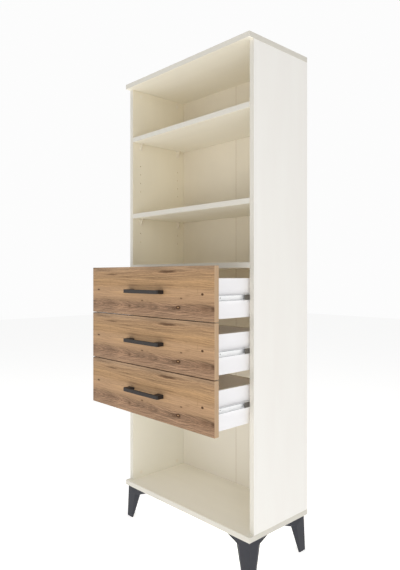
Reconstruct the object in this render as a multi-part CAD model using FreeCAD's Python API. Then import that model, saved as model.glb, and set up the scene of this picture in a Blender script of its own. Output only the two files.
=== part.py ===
import FreeCAD, Part
import math
import os

# Tall bookcase on four corner legs: open bays above and below a block of three drawers.
# Millimetres. X runs to the right, Y to the back, Z up. The origin is on the floor,
# under the middle of the top and bottom panels. The drawers stand fully open.

Vector = FreeCAD.Vector
RIGHT = Vector(1, 0, 0)
BACK = Vector(0, 1, 0)
UP = Vector(0, 0, 1)
os.makedirs("parts", exist_ok=True)

# Body boards
body_width = 800.0
panel_depth = 370.0           # top and bottom panels
panel_overhang = 26.0         # their front edge stands this far ahead of the sides
board = 22.0                  # sides, top, bottom, shelves
side_height = 1900.0
leg_height = 150.0

# Shelves, from the bottom panel up
fixed_shelf_rise = 1024.0     # bottom panel to the shelf above the drawers
lower_bay = 226.0             # clear height above the fixed shelf
middle_bay = 349.0            # clear height above the middle shelf
shelf_side_play = 1.0
shelf_rear_play = 2.0

# Back sheets, let into grooves and butted in the middle, with tape behind the seam
back_sheet = 3.0
back_inset = 11.0             # from the rear edge of the sides to the sheets
back_groove_depth = 6.0
back_groove_play = 0.1
back_end_play = 1.0
back_seam = 0.5
back_tape_width = 30.0
back_tape_thickness = 0.3
back_screw_length = 18.0
back_screw_place = 30.0       # from the seam, on each sheet

# Rows of shelf pin holes: those of the supports, and a group of free ones lower down
pin_radius = 2.5
pin_depth = 10.0
pin_hole_depth = 12.0
pin_pitch = 42.0
pin_row_front = 47.0          # from the front edge of the sides
pin_row_rear = 56.0           # from their rear edge
upper_group_drop = 101.0      # from the upper shelf's support pins to the free holes
upper_group_holes = 4
middle_group_drop = 61.0      # the same, under the middle shelf
middle_group_holes = 2

# Shelf supports
support_width = 22.0
support_height = 34.0
support_reach = 18.0
support_plate = 2.5
support_pin_drop = 10.0       # pin below the shelf

# Knock-down fittings and dowels
joint_inset_front = 50.0      # fitting from the front edge of the sides
joint_inset_rear = 60.0
dowel_offset = 32.0           # dowel beside its fitting
dowel_radius = 4.0
dowel_in_face = 11.0
dowel_in_end = 19.0
bolt_radius = 3.0
bolt_in_face = 11.0
cam_radius = 7.5
cam_depth = 13.0
cam_setback = 24.0            # from the board's end to the cam's centre

# Corner legs
leg_inset = 10.0              # from the edges of the bottom panel
leg_plate = 4.0
leg_tip_reach = 149.0
leg_tip_setback = 10.0
leg_knee_drop = 32.0          # from the panel down to the knee
leg_knee_width = 53.0         # outer face
leg_knee_flank = 24.0         # flank beside it, measured along the outer face
leg_foot_width = 33.0
leg_foot_flank = 8.0
leg_flank_turn = 24.0         # degrees between a flank and the outer face
leg_splay = 4.0
leg_screw_length = 16.0
leg_screw_reach = 100.0       # outer pair, along the arms
leg_screw_setback = 17.0
leg_screw_middle = 57.0

# Drawers
drawer_count = 3
front_height = 203.0
front_thickness = 22.0
front_gap = 3.0               # between two fronts
front_cover = 6.0             # first front above the underside of the fixed shelf
front_reveal = 1.3            # front inside the body's outer faces
front_stand_off = 2.0         # closed front from the body
opening = 187.0               # full travel of the slides
box_length = 300.0
box_board = 12.0
box_side_height = 150.0
box_side_rise = 7.0           # above the lower edge of the front
box_bottom = 3.0
box_bottom_rise = 10.0
box_groove_depth = 5.0
box_groove_play = 0.1
box_dado = 4.0                # back board let into the sides
box_cam_radius = 6.0
box_cam_depth = 9.5
box_cam_height = 112.0
box_dowel_radius = 3.0
box_dowel_height = 36.0
box_dowel_in_end = 20.0

# Drawer handles
handle_centres = 192.0
handle_foot = 36.0
handle_foot_taper = 5.0
handle_stand_off = 34.0
handle_bar = 9.0
handle_height = 15.0
handle_bevel = 5.0
handle_edge = 1.0
handle_screw_radius = 2.0
handle_screw_head_radius = 4.0
handle_screw_head = 2.5
handle_screw_bite = 8.0

# Ball-bearing slides with two members and a ball cage that moves at half speed
slide_thickness = 12.5
slide_height = 30.0           # body rail
slide_length = 250.0
slide_inset = 2.0             # rails from the front edge of the sides, closed
slide_rise = 77.0             # above the lower edge of the box
rail_steel = 1.2
rail_lip = 1.3
rail_set_in = 2.5             # lips of the body rail from the drawer side
ball_radius = 2.0
ball_play = 0.1
ball_spacing = 40.0
cage_steel = 0.8
cage_play = 0.4
cage_rail_play = 0.5
cage_nose = 28.0              # ahead of the body rail when open
pocket_play = 0.15
rail_screw_first = 35.0       # from the front end of the rail
rail_screw_spacing = 192.0
rail_spare_hole = 51.0
rail_slot_place = 84.0
rail_slot_length = 9.0
rail_slot_radius = 2.5

# Countersunk screws
screw_radius = 1.75
screw_head_radius = 3.5
screw_head = 2.0
rail_screw_length = 11.5

# Small rounds are prisms with this many flats, which keeps the number of facets low
round_flat_count = 8          # drillings, dowels, bolts and cams
screw_flat_count = 6

# Derived places
half_width = body_width / 2
inner_half = half_width - board
side_front = -panel_depth / 2 + panel_overhang
side_rear = panel_depth / 2
fitting_front = side_front + joint_inset_front
fitting_rear = side_rear - joint_inset_rear
back_rear = side_rear - back_inset
back_front = back_rear - back_sheet
bottom_top = leg_height + board
sides_top = bottom_top + side_height
fixed_shelf_bottom = bottom_top + fixed_shelf_rise
middle_shelf_bottom = fixed_shelf_bottom + board + lower_bay
upper_shelf_bottom = middle_shelf_bottom + board + middle_bay
box_half = inner_half - slide_thickness
box_inner_half = box_half - box_board
front_rear = side_front - front_stand_off
open_shift = Vector(0, -opening, 0)
cage_shift = open_shift / 2
rail_start = side_front + slide_inset


def block(x_range, y_range, z_range):
    low = Vector(x_range[0], y_range[0], z_range[0])
    high = Vector(x_range[1], y_range[1], z_range[1])
    size = high - low
    return Part.makeBox(size.x, size.y, size.z, low)


def centred(half):
    return (-half, half)


def polygon(corners):
    return Part.Face(Part.makePolygon(corners + corners[:1]))


def ring_corners(radius, centre, direction, flats):
    # Corners of a small round's cross-section, about a line through its centre
    turn = FreeCAD.Rotation(UP, direction)
    step = 2 * math.pi / flats
    corners = []
    for index in range(flats):
        angle = (index + 0.5) * step
        corner = Vector(radius * math.cos(angle), radius * math.sin(angle), 0)
        corners.append(centre + turn.multVec(corner))
    return corners


def flat_radius(radius):
    # From a small round's middle to one of its flats
    return radius * math.cos(math.pi / round_flat_count)


def rod(radius, start, direction, length, flats=round_flat_count):
    return polygon(ring_corners(radius, start, direction, flats)).extrude(direction * length)


def polyhedron(points, faces):
    walls = [polygon([points[name] for name in names]) for names in faces]
    return Part.makeSolid(Part.makeShell(walls))


def cone(radius, end_radius, start, direction, length, flats):
    points = {}
    for level, size, centre in ((0, radius, start), (1, end_radius, start + direction * length)):
        for index, corner in enumerate(ring_corners(size, centre, direction, flats)):
            points[level, index] = corner
    faces = [[(level, index) for index in range(flats)] for level in (0, 1)]
    for index in range(flats):
        following = (index + 1) % flats
        faces.append([(0, index), (0, following), (1, following), (1, index)])
    return polyhedron(points, faces)


def countersunk_screw(start, direction, length):
    head = cone(screw_head_radius, screw_radius, start, direction, screw_head, screw_flat_count)
    neck = start + direction * screw_head
    shank = rod(screw_radius, neck, direction, length - screw_head, screw_flat_count)
    return head.fuse(shank).removeSplitter()


def pan_screw(start, direction, length):
    # The head stands on the surface at start
    head = rod(screw_head_radius, start - direction * screw_head, direction, screw_head, screw_flat_count)
    return head.fuse(rod(screw_radius, start, direction, length, screw_flat_count)).removeSplitter()


def profile_y(outline, y_start, length):
    # Prism along Y with its outline given in X and Z
    return polygon([Vector(x, y_start, z) for x, z in outline]).extrude(BACK * length)


def profile_z(outline, z_start, height):
    return polygon([Vector(x, y, z_start) for x, y in outline]).extrude(UP * height)


def mirrored_x(shape):
    return shape.mirror(Vector(0, 0, 0), RIGHT)


def both_sides(shapes):
    return shapes + [mirrored_x(shape) for shape in shapes]


def moved(shape, shift):
    return shape.translated(shift)


# Knock-down fittings: a bolt screwed into a face, drawn in by a cam in the board's end

def cam_fitting(joint, into_end, cam_face, cam_way, radius, depth, setback):
    # joint lies where the bolt's axis meets the face, and the cam sinks in from cam_face
    cam = rod(radius, joint + into_end * setback + cam_face, cam_way, depth)
    bolt_in_end = setback - flat_radius(radius)
    bolt = rod(bolt_radius, joint - into_end * bolt_in_face, into_end, bolt_in_face + bolt_in_end)
    return bolt, cam


def panel_fittings():
    # Sides to the top and bottom panels, on the left
    bolts, cams, dowels = [], [], []
    mid_board = -half_width + board / 2
    for z, into_side in ((bottom_top, UP), (sides_top, -UP)):
        for y, dowel_y in ((fitting_front, fitting_front + dowel_offset),
                           (fitting_rear, fitting_rear - dowel_offset)):
            joint = Vector(mid_board, y, z)
            bolt, cam = cam_fitting(
                joint, into_side, RIGHT * (board / 2), -RIGHT, cam_radius, cam_depth, cam_setback)
            bolts.append(bolt)
            cams.append(cam)
            foot = Vector(mid_board, dowel_y, z) - into_side * dowel_in_face
            dowels.append(rod(dowel_radius, foot, into_side, dowel_in_face + dowel_in_end))
    return bolts, cams, dowels


def shelf_fittings():
    # Fixed shelf to the left side, with the cams in its underside
    bolts, cams, dowels = [], [], []
    mid_board = fixed_shelf_bottom + board / 2
    for y in (fitting_front, fitting_rear):
        joint = Vector(-inner_half, y, mid_board)
        bolt, cam = cam_fitting(
            joint, RIGHT, UP * (-board / 2), UP, cam_radius, cam_depth, cam_setback)
        bolts.append(bolt)
        cams.append(cam)
    foot = Vector(-inner_half - dowel_in_face, (fitting_front + fitting_rear) / 2, mid_board)
    dowels.append(rod(dowel_radius, foot, RIGHT, dowel_in_face + dowel_in_end))
    return bolts, cams, dowels


panel_sets = panel_fittings()
shelf_sets = shelf_fittings()
left_bolts = panel_sets[0] + shelf_sets[0]
left_cams = panel_sets[1] + shelf_sets[1]
left_dowels = panel_sets[2] + shelf_sets[2]


# Shelf supports: a pin, a plate on the side, a ledge under the shelf and a rib

def pin_hole_heights(shelf_bottom, group_drop, holes):
    support_pin = shelf_bottom - support_pin_drop
    return [support_pin] + [support_pin - group_drop - index * pin_pitch for index in range(holes)]


def shelf_support(shelf_bottom, y):
    half = support_width / 2
    wall = -inner_half
    plate = block((wall, wall + support_plate), (y - half, y + half),
                  (shelf_bottom - support_height, shelf_bottom))
    ledge = block((wall, wall + support_reach), (y - half, y + half),
                  (shelf_bottom - support_plate, shelf_bottom))
    rib = profile_y([(wall + support_plate, shelf_bottom - support_height),
                     (wall + support_reach, shelf_bottom - support_plate),
                     (wall + support_plate, shelf_bottom - support_plate)],
                    y - support_plate / 2, support_plate)
    root = Vector(wall - pin_depth, y, shelf_bottom - support_pin_drop)
    pin = rod(pin_radius, root, RIGHT, pin_depth)
    return plate.fuse([ledge, rib, pin]).removeSplitter()


pin_rows = (side_front + pin_row_front, side_rear - pin_row_rear)
left_supports = []
left_pin_holes = []
for shelf_bottom, group_drop, holes in ((middle_shelf_bottom, middle_group_drop, middle_group_holes),
                                        (upper_shelf_bottom, upper_group_drop, upper_group_holes)):
    for row in pin_rows:
        left_supports.append(shelf_support(shelf_bottom, row))
        for z in pin_hole_heights(shelf_bottom, group_drop, holes):
            start = Vector(-inner_half - pin_hole_depth, row, z)
            left_pin_holes.append(rod(pin_radius, start, RIGHT, pin_hole_depth))


# Slides, drawn closed on the left: u counts from the drawer side to the body side

slide_half = slide_height / 2
inner_rail_half = slide_half - rail_steel - 2 * (ball_radius + ball_play)
ball_height = inner_rail_half + ball_radius + ball_play
cage_web_outer = slide_thickness - rail_steel - cage_play
cage_web_inner = cage_web_outer - cage_steel
inner_rail_reach = cage_web_inner - cage_rail_play
ball_place = (rail_set_in + inner_rail_reach) / 2
rail_overlap = slide_length - opening
cage_length = rail_overlap + cage_nose


def slide_section(outline, z):
    # Half outline above the middle, folded over to the lower half, in X and Z
    below = [(u, -w) for u, w in reversed(outline)]
    return [(-box_half - u, z + w) for u, w in outline + below]


def slide_heights():
    pitch = front_height + front_gap
    first_bottom = fixed_shelf_bottom + front_cover - front_height
    return [first_bottom - index * pitch + box_side_rise + slide_rise for index in range(drawer_count)]


def rail_screw_places(start):
    return [start + rail_screw_first, start + rail_screw_first + rail_screw_spacing]


def body_rail(z):
    outline = [(slide_thickness, slide_half),
               (rail_set_in, slide_half),
               (rail_set_in, slide_half - rail_steel - rail_lip),
               (rail_set_in + rail_steel, slide_half - rail_steel - rail_lip),
               (rail_set_in + rail_steel, slide_half - rail_steel),
               (slide_thickness - rail_steel, slide_half - rail_steel)]
    return profile_y(slide_section(outline, z), rail_start, slide_length)


def drawer_rail(z):
    lip_inner = inner_rail_reach - rail_steel
    outline = [(0, inner_rail_half),
               (lip_inner, inner_rail_half),
               (lip_inner, inner_rail_half + rail_lip),
               (inner_rail_reach, inner_rail_half + rail_lip),
               (inner_rail_reach, inner_rail_half - rail_steel),
               (rail_steel, inner_rail_half - rail_steel)]
    rail = profile_y(slide_section(outline, z), rail_start, slide_length)
    web = Vector(-box_half - rail_steel, rail_start, z)
    spare = rod(screw_radius, web + BACK * rail_spare_hole, RIGHT, rail_steel, screw_flat_count)
    slot_start = web + BACK * (rail_slot_place - rail_slot_length / 2 + rail_slot_radius)
    slot_run = rail_slot_length - 2 * rail_slot_radius
    slot_ends = [rod(rail_slot_radius, slot_start + BACK * shift, RIGHT, rail_steel)
                 for shift in (0, slot_run)]
    slot_half = flat_radius(rail_slot_radius)
    slot_middle = block((web.x, web.x + rail_steel), (slot_start.y, slot_start.y + slot_run),
                        (z - slot_half, z + slot_half))
    return rail.cut([spare, slot_middle] + slot_ends)


def ball(centre):
    # Facets lie across and midway between the three axes, all at the ball's radius
    size = 2 * ball_radius
    corner = Vector(-ball_radius, -ball_radius, -ball_radius)
    cube = Part.makeBox(size, size, size, corner)
    solid = cube.copy()
    for axis in (RIGHT, BACK, UP):
        solid = solid.common(cube.rotated(Vector(0, 0, 0), axis, 45))
    return solid.translated(centre)


def ball_cage(z):
    # The cage and its balls in the closed place, half the opening behind the open one
    start = rail_start - cage_nose - cage_shift.y
    half_sheet = cage_steel / 2
    outline = [(cage_web_outer, ball_height + half_sheet),
               (rail_set_in, ball_height + half_sheet),
               (rail_set_in, ball_height - half_sheet),
               (cage_web_inner, ball_height - half_sheet)]
    cage = profile_y(slide_section(outline, z), start, cage_length)
    middle = start + cage_nose + rail_overlap / 2
    pocket_half = ball_radius + pocket_play
    pockets = []
    balls = []
    for y in (middle - ball_spacing / 2, middle + ball_spacing / 2):
        for side in (-1, 1):
            centre = Vector(-box_half - ball_place, y, z + side * ball_height)
            balls.append(ball(centre))
            pockets.append(block((centre.x - pocket_half, centre.x + pocket_half),
                                 (y - pocket_half, y + pocket_half),
                                 (centre.z - cage_steel, centre.z + cage_steel)))
    return [cage.cut(pockets)] + balls


left_rail_screws = []
for z in slide_heights():
    for y in rail_screw_places(rail_start):
        flush = Vector(-box_half - slide_thickness + rail_steel, y, z)
        left_rail_screws.append(countersunk_screw(flush, -RIGHT, rail_screw_length))


# Legs: a faceted tapering post under a flange with two arms

def leg_points():
    # Left front leg, from the outer corner of its flange
    top = leg_height - leg_plate
    knee = leg_height - leg_knee_drop
    lean = leg_splay * (1 - knee / top)
    setback_ratio = math.tan(math.radians(leg_flank_turn))
    points = {
        "corner": (0, 0, top),
        "right_tip": (leg_tip_reach, leg_tip_setback, top),
        "rear_tip": (leg_tip_setback, leg_tip_reach, top),
    }
    for level, z, shift, width, flank in (
            ("knee", knee, -lean, leg_knee_width, leg_knee_flank),
            ("foot", 0, -leg_splay, leg_foot_width, leg_foot_flank)):
        flank_end = shift + width + flank
        flank_setback = shift + flank * setback_ratio
        points[level + "_front"] = (shift + width, shift, z)
        points[level + "_flank"] = (flank_end, flank_setback, z)
        points[level + "_rear_flank"] = (flank_setback, flank_end, z)
        points[level + "_rear"] = (shift, shift + width, z)
    points["foot_corner"] = (-leg_splay, -leg_splay, 0)
    origin = Vector(-half_width + leg_inset, -panel_depth / 2 + leg_inset, 0)
    return {name: origin + Vector(*place) for name, place in points.items()}


def leg_faces():
    faces = [
        ("corner", "right_tip", "rear_tip"),
        ("corner", "right_tip", "knee_front"),
        ("right_tip", "knee_flank", "knee_front"),
        ("right_tip", "rear_tip", "knee_rear_flank", "knee_flank"),
        ("rear_tip", "knee_rear", "knee_rear_flank"),
        ("corner", "knee_rear", "rear_tip"),
        ("corner", "knee_front", "foot_front", "foot_corner"),
        ("corner", "foot_corner", "foot_rear", "knee_rear"),
        ("foot_corner", "foot_front", "foot_flank", "foot_rear_flank", "foot_rear"),
    ]
    for first, second in (("front", "flank"), ("flank", "rear_flank"), ("rear_flank", "rear")):
        faces.append(("knee_" + first, "knee_" + second, "foot_" + second, "foot_" + first))
    return faces


def leg_and_screws():
    points = leg_points()
    post = polyhedron(points, leg_faces())
    plate_outline = [(points[name].x, points[name].y) for name in ("corner", "right_tip", "rear_tip")]
    plate = profile_z(plate_outline, leg_height - leg_plate, leg_plate)
    leg = post.fuse(plate).removeSplitter()
    corner = points["corner"]
    screws = []
    for x, y in ((leg_screw_reach, leg_screw_setback),
                 (leg_screw_setback, leg_screw_reach),
                 (leg_screw_middle, leg_screw_middle)):
        seat = Vector(corner.x + x, corner.y + y, leg_height - leg_plate)
        way_in = rod(screw_head_radius, Vector(seat.x, seat.y, 0), UP, seat.z, screw_flat_count)
        screw = countersunk_screw(seat, UP, leg_screw_length)
        leg = leg.cut([way_in, screw])
        screws.append(screw)
    return leg, screws


front_left_leg, front_left_leg_screws = leg_and_screws()


def to_rear(shape):
    return shape.mirror(Vector(0, 0, 0), BACK)


legs = {
    "leg_front_left": front_left_leg,
    "leg_front_right": mirrored_x(front_left_leg),
    "leg_rear_left": to_rear(front_left_leg),
    "leg_rear_right": mirrored_x(to_rear(front_left_leg)),
}
leg_screws = both_sides(front_left_leg_screws + [to_rear(screw) for screw in front_left_leg_screws])


# Boards of the body

back_groove = (back_front - back_groove_play, back_rear + back_groove_play)
back_low = bottom_top - back_groove_depth
back_high = sides_top + back_groove_depth
groove_cutter = block(centred(inner_half + back_groove_depth), back_groove, (back_low, back_high))
left_drillings = left_bolts + left_cams + left_dowels + left_pin_holes + left_rail_screws

side_left = block((-half_width, -inner_half), (side_front, side_rear), (bottom_top, sides_top))
side_left = side_left.cut([groove_cutter] + left_drillings)

panel_y = centred(panel_depth / 2)
panel_drillings = both_sides(panel_sets[0] + panel_sets[2])
bottom_panel = block(centred(half_width), panel_y, (leg_height, bottom_top))
bottom_panel = bottom_panel.cut([groove_cutter] + panel_drillings + leg_screws)
top_panel = block(centred(half_width), panel_y, (sides_top, sides_top + board))
top_panel = top_panel.cut([groove_cutter] + panel_drillings)

back_screw_seat = Vector(-back_screw_place, back_rear, fixed_shelf_bottom + board / 2)
back_screws = both_sides([pan_screw(back_screw_seat, -BACK, back_screw_length)])

fixed_shelf = block(centred(inner_half), (side_front, back_front),
                    (fixed_shelf_bottom, fixed_shelf_bottom + board))
shelf_drillings = both_sides(shelf_sets[0] + shelf_sets[1] + shelf_sets[2])
fixed_shelf = fixed_shelf.cut(shelf_drillings + back_screws)


def loose_shelf(bottom):
    return block(centred(inner_half - shelf_side_play),
                 (side_front, back_front - shelf_rear_play), (bottom, bottom + board))


back_left = block((-inner_half - back_groove_depth + back_end_play, -back_seam / 2),
                  (back_front, back_rear), (back_low + back_end_play, back_high - back_end_play))
back_left = back_left.cut(back_screws)
back_tape = block(centred(back_tape_width / 2), (back_rear, back_rear + back_tape_thickness),
                  (bottom_top, sides_top))

nodes = {
    "side_left": side_left,
    "side_right": mirrored_x(side_left),
    "bottom_panel": bottom_panel,
    "top_panel": top_panel,
    "fixed_shelf": fixed_shelf,
    "shelf_middle": loose_shelf(middle_shelf_bottom),
    "shelf_upper": loose_shelf(upper_shelf_bottom),
    "back_left": back_left,
    "back_right": mirrored_x(back_left),
    "back_tape": back_tape,
    "back_screws": Part.makeCompound(back_screws),
    "shelf_supports": Part.makeCompound(both_sides(left_supports)),
    "cam_bolts": Part.makeCompound(both_sides(left_bolts)),
    "cam_locks": Part.makeCompound(both_sides(left_cams)),
    "dowels": Part.makeCompound(both_sides(left_dowels)),
    "leg_screws": Part.makeCompound(leg_screws),
    "rail_screws": Part.makeCompound(both_sides(left_rail_screws)),
}
nodes.update(legs)


# Drawers

def handle_and_screws(z):
    # Bow handle with a foot at each end, screwed on through the front
    half_length = (handle_centres + handle_foot) / 2
    foot_inner = half_length - handle_foot
    face = front_rear - front_thickness
    bar_face = face - handle_stand_off
    bar_rear = bar_face + handle_bar
    half_outline = [(half_length - handle_bevel, bar_face),
                    (half_length, bar_face + handle_bevel),
                    (half_length, face),
                    (foot_inner, face),
                    (foot_inner + handle_foot_taper, bar_rear)]
    other_half = [(-x, y) for x, y in reversed(half_outline)]
    bow = profile_z(half_outline + other_half, z - handle_height / 2, handle_height)
    long_edges = [edge for edge in bow.Edges
                  if edge.BoundBox.YMax < bar_face + handle_edge and edge.BoundBox.ZLength < handle_edge]
    bow = bow.makeChamfer(handle_edge, long_edges)
    screws = []
    for x in centred(handle_centres / 2):
        seat = Vector(x, front_rear, z)
        shank_length = front_thickness + handle_screw_bite
        shank = rod(handle_screw_radius, seat, -BACK, shank_length, screw_flat_count)
        head = rod(handle_screw_head_radius, seat, BACK, handle_screw_head, screw_flat_count)
        screws.append(head.fuse(shank).removeSplitter())
    return bow.cut(screws), screws


def box_fasteners(box_low):
    # Front to the left box side: one cam fitting and one dowel
    mid_board = -box_half + box_board / 2
    joint = Vector(mid_board, front_rear, box_low + box_cam_height)
    bolt, cam = cam_fitting(joint, BACK, RIGHT * (box_board / 2), -RIGHT,
                            box_cam_radius, box_cam_depth, cam_setback)
    foot = Vector(mid_board, front_rear - dowel_in_face, box_low + box_dowel_height)
    dowel = rod(box_dowel_radius, foot, BACK, dowel_in_face + box_dowel_in_end)
    return [bolt, cam, dowel]


def drawer(number, slide_z):
    box_low = slide_z - slide_rise
    box_high = box_low + box_side_height
    front_low = box_low - box_side_rise
    box_rear = front_rear + box_length
    sheet_low = box_low + box_bottom_rise
    sheet_high = sheet_low + box_bottom
    handle, handle_screws = handle_and_screws(front_low + front_height / 2)
    fasteners = both_sides(box_fasteners(box_low))
    rail = drawer_rail(slide_z)
    slide_screws = []
    for y in rail_screw_places(rail_start):
        flush = Vector(-box_half - rail_steel, y, slide_z)
        slide_screws.append(countersunk_screw(flush, RIGHT, rail_screw_length))

    groove = block(centred(box_inner_half + box_groove_depth),
                   (front_rear - box_groove_depth, box_rear),
                   (sheet_low - box_groove_play, sheet_high + box_groove_play))
    sheet = block(centred(box_inner_half + box_groove_depth),
                  (front_rear - box_groove_depth, box_rear), (sheet_low, sheet_high))
    rear_board = block(centred(box_inner_half + box_dado), (box_rear - box_board, box_rear),
                       (sheet_high + box_groove_play, box_high))
    front = block(centred(half_width - front_reveal), (front_rear - front_thickness, front_rear),
                  (front_low, front_low + front_height))
    front = front.cut([groove] + handle_screws + fasteners)
    side = block((-box_half, -box_inner_half), (front_rear, box_rear), (box_low, box_high))
    side = side.cut([groove, rear_board] + fasteners + slide_screws)
    rail = rail.cut(slide_screws)
    pieces = {
        "drawer_front": front,
        "box_side_left": side,
        "box_side_right": mirrored_x(side),
        "box_back": rear_board,
        "box_bottom": sheet,
        "box_fasteners": Part.makeCompound(fasteners + both_sides(slide_screws)),
        "handle": handle,
        "handle_screws": Part.makeCompound(handle_screws),
        "drawer_rail_left": rail,
        "drawer_rail_right": mirrored_x(rail),
    }
    return {f"{name}_{number}": moved(shape, open_shift) for name, shape in pieces.items()}


for index, slide_z in enumerate(slide_heights()):
    number = index + 1
    nodes.update(drawer(number, slide_z))
    fixed_rail = body_rail(slide_z).cut(left_rail_screws)
    nodes[f"body_rail_left_{number}"] = fixed_rail
    nodes[f"body_rail_right_{number}"] = mirrored_x(fixed_rail)
    cages = Part.makeCompound(both_sides(ball_cage(slide_z)))
    nodes[f"ball_cages_{number}"] = moved(cages, cage_shift)

for name, shape in nodes.items():
    shape.exportStep(f"parts/{name}.step")
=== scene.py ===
import bmesh
import bpy
import math
from mathutils import Matrix, Vector


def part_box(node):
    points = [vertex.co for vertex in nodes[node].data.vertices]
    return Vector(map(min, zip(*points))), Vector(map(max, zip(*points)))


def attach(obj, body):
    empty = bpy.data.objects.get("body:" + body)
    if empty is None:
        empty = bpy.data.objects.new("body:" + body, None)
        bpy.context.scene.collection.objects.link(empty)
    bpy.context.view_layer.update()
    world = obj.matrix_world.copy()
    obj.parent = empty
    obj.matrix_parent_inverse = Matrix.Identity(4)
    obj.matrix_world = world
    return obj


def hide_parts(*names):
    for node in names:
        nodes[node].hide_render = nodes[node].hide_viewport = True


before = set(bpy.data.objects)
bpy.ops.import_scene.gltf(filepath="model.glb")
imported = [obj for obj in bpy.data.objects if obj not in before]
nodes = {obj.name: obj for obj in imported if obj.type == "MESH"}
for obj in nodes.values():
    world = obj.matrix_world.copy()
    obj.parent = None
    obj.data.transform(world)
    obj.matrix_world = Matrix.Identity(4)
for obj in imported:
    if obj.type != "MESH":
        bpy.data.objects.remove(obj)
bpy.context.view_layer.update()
drawerNumbers = (1, 2, 3)
mm = 0.001
print("frame loaded:", len(nodes), "nodes")


# Colours and nodes

white = (1.0, 1.0, 1.0, 1.0)
noiseMiddle = 0.5
cloudStops = ((0.3, 0.0), (0.7, 1.0))  # a noise seldom leaves this part of its range


def linear(level):
    # From a screen's level to the light it gives, by the sRGB curve
    level = level / 255
    return level / 12.92 if level <= 0.04045 else ((level + 0.055) / 1.055) ** 2.4


def tone(red, green, blue):
    # A colour as a screen shows it, 0 to 255
    return (linear(red), linear(green), linear(blue), 1.0)


def link(thing):
    bpy.context.scene.collection.objects.link(thing)
    return thing


def feed(tree, entry, value):
    # Links an input to another node's output, or gives it a plain value
    if isinstance(value, bpy.types.NodeSocket):
        tree.links.new(value, entry)
    else:
        entry.default_value = value


def addNode(tree, kind, inputs=None, **settings):
    node = tree.nodes.new("ShaderNode" + kind)
    for name, value in settings.items():
        setattr(node, name, value)
    for name, value in (inputs or {}).items():
        feed(tree, node.inputs[name], value)
    return node


def calculate(tree, operation, first, second=0.0, third=0.0):
    inputs = {0: first, 1: second, 2: third}
    return addNode(tree, "Math", inputs, operation=operation).outputs[0]


def mixColour(tree, factor, first, second):
    # The node has sockets of the same name for other kinds of value, so identifiers are used
    node = addNode(tree, "Mix", data_type="RGBA")
    entries = {entry.identifier: entry for entry in node.inputs}
    feed(tree, entries["Factor_Float"], factor)
    feed(tree, entries["A_Color"], first)
    feed(tree, entries["B_Color"], second)
    return next(outlet for outlet in node.outputs if outlet.identifier == "Result_Color")


def ramp(tree, factor, stops):
    node = addNode(tree, "ValToRGB", {0: factor})
    band = node.color_ramp
    while len(band.elements) < len(stops):
        band.elements.new(1.0)
    for element, (place, value) in zip(band.elements, stops):
        element.position = place
        element.color = value if isinstance(value, tuple) else (value, value, value, 1.0)
    return node.outputs["Color"]


def millimetres(tree, centre=(0, 0, 0), stretch=(1, 1, 1)):
    # The piece's own coordinates in millimetres from a centre, each divided by a stretch
    place = addNode(tree, "TexCoord").outputs["Object"]
    inputs = {"Vector": place, "Location": centre, "Scale": tuple(mm * size for size in stretch)}
    return addNode(tree, "Mapping", inputs, vector_type="TEXTURE").outputs[0]


def heightInMillimetres(tree):
    return addNode(tree, "SeparateXYZ", {0: millimetres(tree)}).outputs["Z"]


def noise(tree, place, detail=3.0, roughness=0.5):
    inputs = {"Vector": place, "Scale": 1.0, "Detail": detail, "Roughness": roughness}
    return addNode(tree, "TexNoise", inputs).outputs["Fac"]


def stepped(tree, value, low, high):
    # From 0 at low to 1 at high, with soft ends
    inputs = {"Value": value, "From Min": low, "From Max": high}
    return addNode(tree, "MapRange", inputs, interpolation_type="SMOOTHSTEP").outputs[0]


# What every material shares

plainFinish = {
    "metallic": 0.0,
    "specular": 0.5,
    "cloudDetail": 4.0,
    "grainDetail": 3.0,
}


def newMaterial(name, finish):
    finish = plainFinish | finish
    material = bpy.data.materials.new(name)
    material.use_nodes = True
    tree = material.node_tree
    surface = tree.nodes["Principled BSDF"]
    surface.inputs["Metallic"].default_value = finish["metallic"]
    surface.inputs["Specular IOR Level"].default_value = finish["specular"]
    return material, tree, surface


def between(tree, blend, tones):
    # From the dark tone at 0 to the light one at 1
    light, dark = tones
    return mixColour(tree, blend, tone(*dark), tone(*light))


def addColour(tree, surface, colour):
    feed(tree, surface.inputs["Base Color"], colour)


def addRoughness(tree, surface, roughness, blend=None):
    # One value, or a low and a high one between which it follows the blend
    if isinstance(roughness, tuple):
        low, high = roughness
        inputs = {"Value": blend, "To Min": low, "To Max": high}
        roughness = addNode(tree, "MapRange", inputs).outputs[0]
    feed(tree, surface.inputs["Roughness"], roughness)


def addRelief(tree, surface, relief, height):
    # A relief is its strength and its depth in millimetres
    strength, depth = relief
    inputs = {"Height": height, "Strength": strength, "Distance": depth * mm}
    feed(tree, surface.inputs["Normal"], addNode(tree, "Bump", inputs).outputs[0])


def cloudy(name, finish, tones):
    # Soft clouds between a light and a dark tone and, on some finishes, a fine grain in relief.
    # The colour is given back too, for a finish that adds to it
    finish = plainFinish | finish
    material, tree, surface = newMaterial(name, finish)
    clouds = noise(tree, millimetres(tree, stretch=finish["cloudSize"]), finish["cloudDetail"])
    blend = ramp(tree, clouds, cloudStops)
    colour = between(tree, blend, tones)
    addColour(tree, surface, colour)
    addRoughness(tree, surface, finish["roughness"], blend)
    if "grainSize" in finish:
        grain = noise(tree, millimetres(tree, stretch=finish["grainSize"]), finish["grainDetail"])
        addRelief(tree, surface, finish["relief"], grain)
    return material, tree, surface, colour


# Laminate of the body. Behind the drawers it is painted paler, as painted light in the shaded gaps,
# and in the low bay paler and less yellow, as painted light from below

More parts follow.
